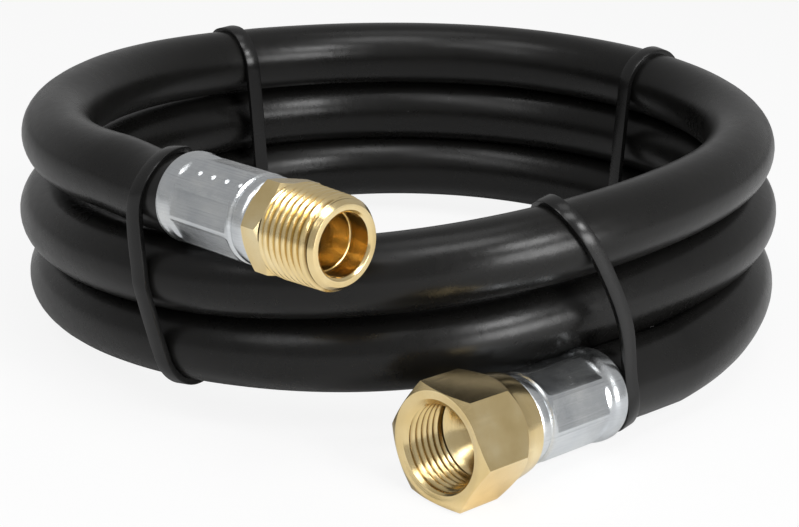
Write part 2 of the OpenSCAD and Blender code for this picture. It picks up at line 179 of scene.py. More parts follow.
class Nodes:
    """Short names for building a node material."""

    def __init__(self, name):
        self.mat = bpy.data.materials.new(name)
        self.mat.use_nodes = True
        self.tree = self.mat.node_tree
        self.tree.nodes.clear()
        self.out = self.add("ShaderNodeOutputMaterial")
        self.bsdf = self.add("ShaderNodeBsdfPrincipled")
        self.link(self.bsdf.outputs[0], self.out.inputs[0])

    def add(self, kind, **values):
        node = self.tree.nodes.new(kind)
        for key, value in values.items():
            if key in ("data_type", "feature", "wave_type", "bands_direction", "uv_map"):
                setattr(node, key, value)
            else:
                node.inputs[key.replace("_", " ")].default_value = value
        return node

    def link(self, a, b):
        self.tree.links.new(a, b)

    def uv(self):
        return self.add("ShaderNodeUVMap", uv_map="UVMap").outputs[0]

    def place(self):
        return self.add("ShaderNodeTexCoord").outputs["Object"]

    def stretched(self, vector, x, y, z):
        node = self.add("ShaderNodeMapping")
        node.inputs["Scale"].default_value = (x, y, z)
        self.link(vector, node.inputs["Vector"])
        return node.outputs[0]

    def noise(self, vector, scale, detail=2.0, rough=0.5):
        node = self.add("ShaderNodeTexNoise", Scale=scale, Detail=detail, Roughness=rough)
        self.link(vector, node.inputs["Vector"])
        return node.outputs["Fac"]

    def ramp(self, fac, *stops):
        node = self.add("ShaderNodeValToRGB")
        e = node.color_ramp.elements
        while len(e) < len(stops):
            e.new(0.5)
        for item, (pos, value) in zip(e, stops):
            item.position = pos
            item.color = (value, value, value, 1) if isinstance(value, (int, float)) else (*value, 1)
        self.link(fac, node.inputs[0])
        return node.outputs[0]

    def span(self, fac, low, high, from_low=0.0, from_high=1.0):
        node = self.add("ShaderNodeMapRange")
        for key, value in (("From Min", from_low), ("From Max", from_high),
                           ("To Min", low), ("To Max", high)):
            node.inputs[key].default_value = value
        self.link(fac, node.inputs["Value"])
        return node.outputs[0]

    def math(self, operation, a, b):
        return math_node(self.tree, operation, a, b)

    def mix(self, fac, a, b):
        node = self.add("ShaderNodeMix", data_type="RGBA")
        for key, value in (("Factor", fac), ("A", a), ("B", b)):
            socket = [s for s in node.inputs if s.name == key and (
                s.type == "VALUE" if key == "Factor" else s.type == "RGBA")][0]
            if isinstance(value, (tuple, list)):
                socket.default_value = (*value, 1)
            elif isinstance(value, (int, float)):
                socket.default_value = value
            else:
                self.link(value, socket)
        return [s for s in node.outputs if s.type == "RGBA"][0]

    def bump(self, height, strength, distance, normal=None):
        node = self.add("ShaderNodeBump")
        node.inputs["Strength"].default_value = strength
        node.inputs["Distance"].default_value = distance
        self.link(height, node.inputs["Height"])
        if normal is not None:
            self.link(normal, node.inputs["Normal"])
        return node.outputs[0]

    def set(self, **values):
        for key, value in values.items():
            socket = self.bsdf.inputs[key.replace("_", " ")]
            if isinstance(value, bpy.types.NodeSocket):
                self.link(value, socket)
            elif isinstance(value, (tuple, list)):
                socket.default_value = (*value, 1)
            else:
                socket.default_value = value
        return self.mat


def rubber_material():
    """Extruded cover: satin black, faintly uneven, with a few specks of dust."""
    n = Nodes("rubber")
    uv = n.uv()
    at = n.place()
    mottle = n.noise(at, 620.0, 3.0, 0.5)
    # patches a few millimetres wide: u goes once round the hose, v is metres along it times 40
    wrap = n.noise(n.stretched(uv, 5.0, 1.6, 1.0), 3.0, 2.0, 0.5)
    grain = n.noise(at, 2600.0, 3.0, 0.6)
    cloud = n.noise(at, 60.0, 4.0, 0.55)
    dust = n.add("ShaderNodeTexVoronoi", Scale=170.0, feature="F1")
    n.link(at, dust.inputs["Vector"])
    specks = n.ramp(dust.outputs["Distance"], (0.0, 1.0), (0.035, 0.0))
    sparse = n.ramp(n.noise(at, 45.0, 1.0), (0.55, 0.0), (0.62, 1.0))
    specks = n.math("MULTIPLY", specks, sparse)
    base = n.mix(n.span(cloud, 0.0, 1.0), (0.0046, 0.0045, 0.0042), (0.0072, 0.007, 0.0066))
    base = n.mix(n.math("MULTIPLY", specks, 0.5), base, (0.22, 0.22, 0.21))
    rough = n.span(n.math("ADD", cloud, n.math("MULTIPLY", mottle, 0.5)), 0.24, 0.33, 0.5, 1.0)
    normal = n.bump(n.math("ADD", wrap, n.math("MULTIPLY", mottle, 0.5)), 0.22, 0.0002)
    normal = n.bump(grain, 0.1, 0.00006, normal)
    return n.set(Base_Color=base, Roughness=rough, Normal=normal, Specular_IOR_Level=0.24)


def zinc_material():
    """Bright zinc plate: bluish white, softly clouded, finely scratched."""
    n = Nodes("zinc_plate")
    at = n.place()
    cloud = n.noise(at, 180.0, 4.0, 0.6)
    fine = n.noise(at, 3200.0, 3.0, 0.7)
    scratches = n.noise(n.stretched(n.uv(), 60.0, 4.0, 1.0), 7.0, 4.0, 0.7)
    base = n.ramp(cloud, (0.3, (0.56, 0.585, 0.61)), (0.55, (0.64, 0.66, 0.67)),
                  (0.75, (0.70, 0.71, 0.70)))
    base = n.mix(n.span(scratches, 0.0, 0.55, 0.5, 0.72), base, (0.3, 0.32, 0.34))
    rough = n.span(n.math("ADD", cloud, n.math("MULTIPLY", scratches, 0.4)), 0.15, 0.3, 0.4, 1.0)
    normal = n.bump(fine, 0.1, 0.00005)
    normal = n.bump(scratches, 0.22, 0.00006, normal)
    return n.set(Base_Color=base, Metallic=1.0, Roughness=rough, Normal=normal)


def brass_material(name, turned):
    """Brass with turning marks round it, or with drawn faces as on hexagon bar."""
    n = Nodes(name)
    at = n.place()
    uv = n.uv()
    cloud = n.noise(at, 140.0, 3.0, 0.5)
    fine = n.noise(at, 2600.0, 2.0, 0.6)
    if turned:
        marks = n.noise(n.stretched(uv, 1.5, 900.0, 1.0), 5.0, 3.0, 0.6)
    else:
        marks = n.noise(n.stretched(uv, 60.0, 14.0, 1.0), 6.0, 3.0, 0.6)
    base = n.ramp(cloud, (0.3, (0.72, 0.55, 0.26)), (0.55, (0.80, 0.63, 0.33)),
                  (0.8, (0.86, 0.72, 0.43)))
    # painted shade: the base turns dark brown in the roots of the threads and other hollow corners,
    # where shade falls
    painted_root_shade = n.span(n.add("ShaderNodeNewGeometry").outputs["Pointiness"], 0.0, 1.0, 0.45, 0.498)
    base = n.mix(painted_root_shade, (0.22, 0.13, 0.04), base)
    rough = n.span(n.math("ADD", marks, n.math("MULTIPLY", cloud, 0.5)), 0.12, 0.26, 0.4, 1.1)
    normal = n.bump(marks, 0.2 if turned else 0.12, 0.00006)
    normal = n.bump(fine, 0.08, 0.00005, normal)
    return n.set(Base_Color=base, Metallic=1.0, Roughness=rough, Normal=normal)


def nylon_material():
    """Moulded black nylon with a soft sheen."""
    n = Nodes("nylon")
    at = n.place()
    cloud = n.noise(at, 90.0, 3.0, 0.5)
    grain = n.noise(at, 1800.0, 3.0, 0.6)
    base = n.mix(cloud, (0.006, 0.006, 0.006), (0.011, 0.0108, 0.0105))
    rough = n.span(n.math("ADD", cloud, n.math("MULTIPLY", grain, 0.4)), 0.2, 0.32, 0.4, 1.1)
    return n.set(Base_Color=base, Roughness=rough, Normal=n.bump(grain, 0.1, 0.00005),
                 Specular_IOR_Level=0.3)


def braid_material():
    """Woven yarn under the cover."""
    n = Nodes("braid_yarn")
    at = n.place()
    a = n.add("ShaderNodeTexWave", wave_type="BANDS", bands_direction="DIAGONAL", Scale=260.0)
    b = n.add("ShaderNodeTexWave", wave_type="BANDS", bands_direction="DIAGONAL", Scale=260.0)
    n.link(at, a.inputs["Vector"])
    n.link(n.stretched(at, -1, 1, 1), b.inputs["Vector"])
    weave = n.math("MAXIMUM", a.outputs["Fac"], b.outputs["Fac"])
    base = n.mix(weave, (0.32, 0.31, 0.28), (0.62, 0.6, 0.55))
    return n.set(Base_Color=base, Roughness=0.8, Normal=n.bump(weave, 0.5, 0.0003))


def liner_material():
    """Plain tube wall under the braid."""
    n = Nodes("liner_rubber")
    at = n.place()
    cloud = n.noise(at, 120.0, 3.0)
    base = n.mix(cloud, (0.03, 0.03, 0.03), (0.05, 0.05, 0.05))
    rough = n.span(cloud, 0.5, 0.65)
    return n.set(Base_Color=base, Roughness=rough, Normal=n.bump(n.noise(at, 1500.0), 0.1, 0.0001))


RUBBER, ZINC, NYLON = rubber_material(), zinc_material(), nylon_material()
BRASS_TURNED = brass_material("brass_turned", True)
BRASS_DRAWN = brass_material("brass_drawn", False)


# ---------------------------------------------------------------- mesh helpers
def finish_mesh(name, bm, material, crease=32.0, merge=2e-6):
    """The bmesh as an object, its doubles merged, normals outwards, sharp over an angle."""
    if merge:
        bmesh.ops.remove_doubles(bm, verts=bm.verts, dist=merge)
    bmesh.ops.recalc_face_normals(bm, faces=bm.faces)
    me = bpy.data.meshes.new(name)
    bm.to_mesh(me)
    bm.free()
    for poly in me.polygons:
        poly.use_smooth = True
    me.set_sharp_from_angle(angle=radians(crease))
    me.materials.append(material)
    ob = bpy.data.objects.new(name, me)
    bpy.context.scene.collection.objects.link(ob)
    return ob


def distances(points):
    """How far along its line each point is."""
    way = [0.0]
    for a, b in zip(points, points[1:]):
        way.append(way[-1] + (b - a).length)
    return way


def grid(bm, points, wrap=True, v_scale=1.0):
    """Quads over rows of points. Each row goes once round; the map's v follows the rows' way."""
    layer = bm.loops.layers.uv.get("UVMap") or bm.loops.layers.uv.new("UVMap")
    rows = [[bm.verts.new(p) for p in row] for row in points]
    n = len(points[0])
    way = distances([row[0] for row in points])
    last = n if wrap else n - 1
    for i in range(len(rows) - 1):
        for j in range(last):
            k = (j + 1) % n
            quad = (rows[i][j], rows[i][k], rows[i + 1][k], rows[i + 1][j])
            if len({tuple(v.co) for v in quad}) < 3:
                continue
            maps = ((j / last, way[i]), ((j + 1) / last, way[i]),
                    ((j + 1) / last, way[i + 1]), (j / last, way[i + 1]))
            face = bm.faces.new(quad)
            for loop, (u, v) in zip(face.loops, maps):
                loop[layer].uv = (u, v * v_scale)


class Fitting:
    """One end's own frame: s runs out of the hose from the ferrule's rear face."""

    def __init__(self, at, az, rise):
        e = radians(rise)
        self.at = leaned(at) - FOOT
        self.axis = leaned(pointing(az, rise))
        self.x = leaned(Vector((sin(e) * cos(az), sin(e) * sin(az), -cos(e))))
        self.y = leaned(Vector((-sin(az), cos(az), 0)))

    def point(self, s, r, a):
        """a in degrees, s and r in millimetres; the result in metres."""
        a = radians(a)
        return (self.at + s * self.axis + r * (cos(a) * self.x + sin(a) * self.y)) * MM

    def lathe(self, bm, outline, columns=96, phase=0.0):
        """Turns an outline of (s, r), or of functions of the angle that give them."""
        angles = [phase + 360 * j / columns for j in range(columns)]
        rows = []
        for item in outline:
            rows.append([self.point(*(item(a) if callable(item) else item), a) for a in angles])
        grid(bm, rows)

    def thread(self, bm, low, high, radius, shape, columns=120):
        """Helical rows from low to high. shape is [(part of the pitch, height)], radius(s, h)."""
        once = sorted((x % 1.0, h) for x, h in shape)
        turned = [(once[-1][0] - 1, once[-1][1]), *once, (once[0][0] + 1, once[0][1])]

        def height(s, a):
            f = (s / PITCH - a / 360) % 1.0
            for (x0, h0), (x1, h1) in zip(turned, turned[1:]):
                if x0 - 1e-9 <= f <= x1 + 1e-9:
                    return h0 + (h1 - h0) * (f - x0) / max(x1 - x0, 1e-9)
            return turned[-1][1]

        rows = []
        for turn in range(floor(low / PITCH) - 2, ceil(high / PITCH) + 1):
            for part, _ in once:
                row = []
                for j in range(columns + 1):
                    a = 360 * j / columns
                    s = min(max((turn + part + a / 360) * PITCH, low), high)
                    row.append(self.point(s, radius(s, height(s, a)), a))
                rows.append(row)
        grid(bm, rows, wrap=False)


MALE = Fitting(MALE_AT, MALE_AZ, MALE_RISE)
SWIVEL = Fitting(SWIVEL_AT, SWIVEL_AZ, SWIVEL_RISE)


def smooth_step(a, b, x):
    t = min(max((x - a) / (b - a), 0.0), 1.0)
    return t * t * (3 - 2 * t)


# ---------------------------------------------------------------- hose
# Where the turns settle on each other: winding angle, rise, spread
SETTLES = [(497, 0.35, 60), (857, 0.6, 60), (962, 0.9, 22)]
# Where a turn bulges to meet its neighbour: winding angle, spread, up (1) or down (-1), how far
PRESSED = [(487, 75, 1, 1.1), (645, 40, -1, 2.0), (850, 60, 1, 0.8), (985, 28, 1, 1.3)]
# How far the points of each straight end are from the ferrule's rear face, inside it and behind
# it, and how many steps the coil between the two ends has
INSIDE = [TAIL - 2 * i for i in range(int(TAIL // 2) + 1)] + [0.0]
BEHIND = (4, 8, 12, 16)
COIL_STEPS = 620


def winding(step):
    """The winding angle at a step of the coil."""
    return MALE_LEAVES + (SWIVEL_LEAVES - MALE_LEAVES) * step / COIL_STEPS


def dip(back):
    """The hose sags a little behind the male ferrule, back millimetres from its rear face."""
    return Vector((0, 0, -0.9 * exp(-((back - 9) / 7.5) ** 2)))


def hose_path():
    """Middle of the hose, coil frame: straight, the turns, straight again."""
    points = [MALE_AT + s * MALE_DIR + dip(-s) for s in INSIDE]
    points += [MALE_AT - s * MALE_DIR + dip(s) for s in BEHIND]
    for p in map(winding, range(COIL_STEPS + 1)):
        rise = bells(SETTLES, p) * smooth_step(0, 30, SWIVEL_LEAVES - p)
        back = MALE_STRAIGHT + radians(p - MALE_LEAVES) * COIL_R
        points.append(coil_at(p) + Vector((0, 0, rise)) + dip(back))
    points += [SWIVEL_AT - s * SWIVEL_DIR for s in reversed(BEHIND)]
    points += [SWIVEL_AT + s * SWIVEL_DIR for s in reversed(INSIDE)]
    return points


def tie_frame(spec):
    """A tie's middle, and its ways out of the coil, up the stack and along the hose."""
    a, t = radians(spec[0]), radians(spec[1])
    mid = Vector((COIL_R * cos(a), COIL_R * sin(a), TIE_MID_Z))
    out = Vector((cos(a), sin(a), 0))
    up = Vector((-sin(t) * sin(a), sin(t) * cos(a), cos(t)))
    across = Vector((-cos(t) * sin(a), cos(t) * cos(a), -sin(t)))
    return mid, out, up, across


PATH = hose_path()


def hose_crossings(spec):
    """Where the hose's middle goes through a tie's plane, top turn first."""
    mid, out, up, across = tie_frame(spec)
    found = []
    for a, b in zip(PATH, PATH[1:]):
        da, db = (a - mid).dot(across), (b - mid).dot(across)
        if (da < 0) != (db < 0):
            q = a + (b - a) * (da / (da - db)) - mid
            if q.length < 40:
                d = (b - a).normalized()
                found.append((q.dot(out), q.dot(up), atan2(d.dot(up), d.dot(out)),
                              1 / abs(d.dot(across))))
    return sorted(found, key=lambda c: -c[1])


def make_hose():
    """The hose's outer face as a tube, its middle line in the row frame, and that line's length."""
    way = distances(PATH)
    sides = 40
    rows = []
    for i, c in enumerate(PATH):
        d = (PATH[min(i + 1, len(PATH) - 1)] - PATH[max(i - 1, 0)]).normalized()
        side = d.cross(Vector((0, 0, 1))).normalized()
        up = side.cross(d)
        # thinner inside the ferrules, and nipped a little under each tie
        inside = min(way[i], way[-1] - way[i])
        r0 = HOSE_R
        if inside < TAIL:
            r0 -= (HOSE_R - CRIMPED_R) * smooth_step(0, 4, TAIL - inside)
        for mid, _, _, across in map(tie_frame, TIES.values()):
            gap = abs((c - mid).dot(across))
            if gap < 9 and (c - mid).length < 40:
                r0 -= 0.07 * exp(-(gap / 2.6) ** 2)
        # taller than wide at the back, bulged where it is pressed, and never quite even
        oval = 0.2 * smooth_step(0, 45, c.y)
        p = winding(i - len(INSIDE) - len(BEHIND))
        row = []
        for j in range(sides):
            a = 2 * pi * j / sides
            r1 = r0 + oval * (sin(a) ** 2 - 0.5 * cos(a) ** 2)
            for at, spread, upwards, most in PRESSED:
                r1 += most * exp(-((p - at) / spread) ** 2) * max(upwards * sin(a), 0) ** 3
            wave = 0.03 * noise.noise(Vector((way[i] * 0.06, 2.1 * cos(a), 2.1 * sin(a))))
            row.append(place(c + (r1 + wave) * (cos(a) * side + sin(a) * up)))
        rows.append(row)
    bm = bmesh.new()
    grid(bm, rows, v_scale=40.0)
    ob = finish_mesh("hose_tube", bm, RUBBER, crease=60, merge=0)
    path = [place(p) for p in PATH]
    length = sum((b - a).length for a, b in zip(path, path[1:]))
    return ob, path, length


hose, hose_line, hose_length = make_hose()
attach(hose, "hose")
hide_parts("hose_cover")


# ---------------------------------------------------------------- ferrules
def make_ferrule(name, fit, length, body_r, flat_angle, dots, rear=0.0, lip=0.45):
    """A crimped sleeve with a rolled lip that starts at rear and stands lip above the body."""
    def crimp(s):
        """The round body at s, flattened where the dies pressed it."""
        press = smooth_step(4.3, 5.6, s) * (1 - smooth_step(length - 4.5, length - 3.7, s))

        def at(a):
            d = (a - flat_angle) % (360 / CRIMP_FLATS)
            d = min(d, 360 / CRIMP_FLATS - d)
            flat = (body_r - CRIMP_DEPTH) / cos(radians(d))
            ridge = 0.10 * exp(-((d - 19.8) / 1.1) ** 2) * press
            return s, (body_r + (min(flat, body_r) - body_r) * press) + ridge
        return at

    # the mouth and the rolled lip
    outline = [(3.2, 7.1), (1.6, 7.32), (0.5, 7.4), (0.12, 7.6), (0.0, 7.85), (0.02, body_r - 0.05),
               (0.12, body_r + 0.4 * lip), (0.32, body_r + lip - 0.14), (0.62, body_r + lip - 0.03),
               (1.1, body_r + lip), (1.9, body_r + lip), (2.4, body_r + lip - 0.04),
               (2.9, body_r + lip - 0.14), (3.4, body_r + 0.3 * lip), (3.9, body_r + 0.03)]
    outline = [(rear + s * (4.1 - rear) / 4.1, r) for s, r in outline]
    # the crimped body, with closer rows where the flats begin and end
    outline += [crimp(4.3 + 0.1 * k) for k in range(13)]
    outline += [crimp(5.5 + (length - 10.2) * k / 14) for k in range(1, 14)]
    outline += [crimp(length - 4.7 + 0.1 * k) for k in range(12)]
    # the groove and the front rim, in from the front face and from the body, then the wall's hole
    for s, r in ((3.45, 0.03), (3.2, 0.4), (3.0, 0.45), (2.8, 0.42), (2.6, 0.22), (2.35, 0.16),
                 (1.0, 0.16), (0.6, 0.26), (0.2, 0.5), (0.0, 0.8)):
        outline.append((length - s, body_r - r))
    outline += [(length, 6.2), (length, 5.45), (length - 1.2, 5.42)]
    bm = bmesh.new()
    fit.lathe(bm, outline, columns=216, phase=flat_angle)
    # low round dots pressed up from one flat, each from its rim to its top
    for k in range(dots):
        middle = DOTS_FROM + k * DOT_PITCH
        rows = []
        for rho, h in ((0.92, -0.05), (0.78, 0.02), (0.62, 0.16), (0.44, 0.27), (0.24, 0.33),
                       (0.06, 0.35)):
            r = body_r - CRIMP_DEPTH + h
            row = []
            for j in range(20):
                t = 2 * pi * j / 20
                bearing = flat_angle + degrees(rho * sin(t) / r)
                row.append(fit.point(middle + rho * cos(t), r, bearing))
            rows.append(row)
        grid(bm, rows)
    return finish_mesh(name, bm, ZINC, crease=28)


# ---------------------------------------------------------------- hexagons and threads
def hex_outline(over_flats, corner, rear, front):
    """Rows of a hexagon bar from its rear to its front, with turned ends.

    rear and front are lists of (s, r) that end, or start, on the cone which cuts the corners."""
    def flat_r(a):
        return over_flats / 2 / cos(radians(30 - (a - corner) % 60))

    (sa, ra), (sb, rb) = rear[-2:]
    (sc, rc), (sd, rd) = front[:2]

    def rear_edge(a):
        r = flat_r(a)
        return sa + (sb - sa) * (r - ra) / (rb - ra), r

    def front_edge(a):
        r = flat_r(a)
        return sc + (sd - sc) * (r - rc) / (rd - rc), r

    def between(t):
        def at(a):
            (s0, r), (s1, _) = rear_edge(a), front_edge(a)
            return s0 + (s1 - s0) * t, r
        return at

    return rear[:-1] + [between(t) for t in (0.0, 0.25, 0.5, 0.75, 1.0)] + front[1:]


def barbed_tail():
    """Outline of a stem's tail inside the hose, from its tip to the neck."""
    outline = [(2.5, 3.0), (2.5, 3.9)]
    for i in range(4):
        for part, r in ((0.7, 4.6), (0.8, 4.6), (0.85, 4.0)):
            outline.append((2.5 + (i + part) * 4.05, r))
    return outline + [(20.2, 4.0), (20.2, 5.4)]


def finish_brass(name, bm, drawn):
    """A brass piece; the first faces, drawn of them, are the hexagon bar's and the rest turned."""
    bm.faces.ensure_lookup_table()
    for face in bm.faces[:drawn]:
        face.material_index = 1
    ob = finish_mesh(name, bm, BRASS_TURNED, crease=26, merge=0.5e-6)
    ob.data.materials.append(BRASS_DRAWN)
    return ob


def make_male_stem():
    fit, hex_to, tip = MALE, MALE_HEX_TO, MALE_TIP
    low, high = hex_to + 0.05, tip - 1.0
    bm = bmesh.new()
    corner_r = MALE_HEX / 2 / cos(radians(30))
    rows = hex_outline(MALE_HEX, MALE_CORNER,
                       [(24.36, 5.4), (24.36, 7.5), (24.5, 7.85), (25.5, corner_r + 0.1)],
                       [(hex_to - 0.75, corner_r + 0.1), (hex_to - 0.02, 7.85)])
    rows += [(hex_to, 7.75), (hex_to + 0.02, 6.6)]
    fit.lathe(bm, rows, columns=144, phase=MALE_CORNER)
    drawn = len(bm.faces)

    def radius(s, h):
        """The taper, 1 in 16 on the diameter, run out at the hexagon and cut off at the tip."""
        crest = 8.4 - (s - THREAD_S) / 32
        fade = smooth_step(low - 0.6, low + 0.9, s) * (1 - 0.25 * smooth_step(high - 1.2, high, s))
        r = crest - 0.95 * (1 - h) * fade - 0.12 * (1 - smooth_step(low, low + 1.0, s))
        return min(r, 7.78 + (tip - 1.0 - s) * 0.8)

    fit.thread(bm, low, high, radius, [(-0.12, 0.93), (-0.08, 1.0), (0.08, 1.0), (0.12, 0.93),
                                       (0.40, 0.06), (0.46, 0.0), (0.54, 0.0), (0.60, 0.06)])
    # the tip, the mouth with its two steps, and the gas way
    fit.lathe(bm, [(high, 7.3), (high + 0.02, 7.72), (high + 0.12, 7.76), (tip - 0.12, 7.2),
                   (tip - 0.03, 7.12), (tip, 7.0), (tip, 6.1), (tip - 0.05, 6.0), (tip - 0.42, 5.62),
                   (tip - 0.8, 5.56), (tip - 4.2, 5.54), (tip - 4.35, 5.5), (tip - 4.4, 5.3),
                   (tip - 4.5, 5.22), (hex_to + 0.6, 5.2), (hex_to, 5.1), (hex_to - 2.1, 3.1),
                   (hex_to - 2.4, 3.0), (10.0, 3.0)], columns=96)
    fit.lathe(bm, barbed_tail() + [(MALE_FERRULE_L, 5.4)], columns=64)
    return finish_brass("male_fitting_brass", bm, drawn)


def make_swivel_stem():
    """Tail, neck, and the flange with its 45 degree funnel seat."""
    seat = 31.9
    bm = bmesh.new()
    outline = barbed_tail()
    outline += [(27.0, 5.4), (27.0, 7.9), (seat - 0.12, 8.0), (seat - 0.02, 7.95), (seat, 7.87),
                (seat - 0.06, 7.75), (seat - 1.0, 6.8), (seat - 2.5, 5.3), (seat - 4.0, 3.8),
                (seat - 4.7, 3.1), (seat - 4.9, 2.98), (10.0, 2.98)]
    SWIVEL.lathe(bm, outline, columns=96)
    return finish_mesh("swivel_stem_brass", bm, BRASS_TURNED, crease=26)


def make_swivel_nut():
    fit, low, top = SWIVEL, NUT_FROM, NUT_FROM + NUT_L
    corner_r, face_r = NUT_HEX / 2 / cos(radians(30)), 10.2
    bm = bmesh.new()
    rows = hex_outline(NUT_HEX, NUT_CORNER,
                       [(low, 5.5), (low, 8.9), (low + 0.08, 9.2), (low + 0.35, 9.5),
                        (low + 1.2, 9.68), (low + 3.2, 9.98), (low + 4.9, face_r),
                        (low + 7.2, corner_r + 0.05)],
                       [(top - 0.9, corner_r + 0.05), (top, face_r)])
    rows += [(top, 9.95)]
    fit.lathe(bm, rows, columns=144, phase=NUT_CORNER)
    drawn = len(bm.faces)
    t_low, t_high = 32.1, top - 0.3

    def radius(s, h):
        """Roots at 8.2 and crests at 7.5, run out at the low end and opened by the mouth's cone."""
        fade = smooth_step(t_low - 0.3, t_low + 0.7, s)
        return max(8.2 - 0.7 * h * fade, 8.6 + (s - t_high) * 1.1)

    fit.thread(bm, t_low, t_high, radius, [(-0.09, 0.95), (-0.05, 1.0), (0.05, 1.0), (0.09, 0.95),
                                           (0.41, 0.05), (0.46, 0.0), (0.54, 0.0), (0.59, 0.05)])
    fit.lathe(bm, [(t_high, 8.6), (top - 0.12, 9.35), (top - 0.02, 9.6), (top, 9.95)], columns=120)
    fit.lathe(bm, [(low, 5.5), (low + 2.6, 5.5), (low + 2.6, 8.2), (t_low, 8.2)], columns=96)
    return finish_brass("swivel_nut_brass", bm, drawn)


pieces = {}
pieces["male_ferrule"] = make_ferrule("male_ferrule_crimped", MALE, MALE_FERRULE_L, MALE_BODY_R,
                                      MALE_FLAT, DOTS, rear=1.3, lip=0.22)
pieces["swivel_ferrule"] = make_ferrule("swivel_ferrule_crimped", SWIVEL, SWIVEL_FERRULE_L,
                                        SWIVEL_BODY_R, SWIVEL_FLAT, 0)
pieces["male_stem"] = make_male_stem()
pieces["swivel_stem"] = make_swivel_stem()
pieces["swivel_nut"] = make_swivel_nut()
for node, ob in pieces.items():
    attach(ob, "swivel_nut" if node == "swivel_nut" else "hose")
    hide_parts(node)


# ---------------------------------------------------------------- ties
def convex_outline(points):
    """Counter-clockwise convex hull of points in a plane."""
    points = sorted(points)

    def half(items):
        line = []
        for p in items:
            while len(line) > 1 and ((line[-1][0] - line[-2][0]) * (p[1] - line[-2][1])
                                     - (line[-1][1] - line[-2][1]) * (p[0] - line[-2][0])) <= 0:
                line.pop()
            line.append(p)
        return line[:-1]
    return half(points) + half(points[::-1])


def loop_at(crossings, offset, count=260):
    """Evenly spaced points, and their outward normals, round the turns at a distance."""
    cloud = []
    for x, y, turn, stretch in crossings:
        for k in range(180):
            t = 2 * pi * k / 180
            a, b = (HOSE_R + offset) * stretch * cos(t), (HOSE_R + offset) * sin(t)
            cloud.append((x + a * cos(turn) - b * sin(turn), y + a * sin(turn) + b * cos(turn)))
    hull = convex_outline(cloud)
    hull.append(hull[0])
    way = [0.0]
    for p, q in zip(hull, hull[1:]):
        way.append(way[-1] + sqrt((q[0] - p[0]) ** 2 + (q[1] - p[1]) ** 2))
    points, i = [], 0
    for k in range(count):
        target = way[-1] * k / count
        while way[i + 1] < target:
            i += 1
        t = (target - way[i]) / max(way[i + 1] - way[i], 1e-9)
        points.append((hull[i][0] + (hull[i + 1][0] - hull[i][0]) * t,
                       hull[i][1] + (hull[i + 1][1] - hull[i][1]) * t))
    normals = []
    for k in range(count):
        ax, ay = points[k - 3]
        bx, by = points[(k + 3) % count]
        size = sqrt((bx - ax) ** 2 + (by - ay) ** 2)
        normals.append(((by - ay) / size, -(bx - ax) / size))
    return points, normals


def drift(values, x, y):
    """How far a strap has moved along the hose at a height, less on the coil's inner side."""
    k = min(max((y + 36) / 12, 0), len(values) - 1.001)
    i, t = int(k), k - int(k)
    a, b, c, d = (values[min(max(i + j, 0), len(values) - 1)] for j in (-1, 0, 1, 2))
    v = b + 0.5 * t * (c - a + t * (2 * a - 5 * b + 4 * c - d + t * (3 * (b - c) + d - a)))
    inner = smooth_step(0, 7, -x)
    return v * (1 - inner) + 0.5 * min(max(v, -3), 3) * inner


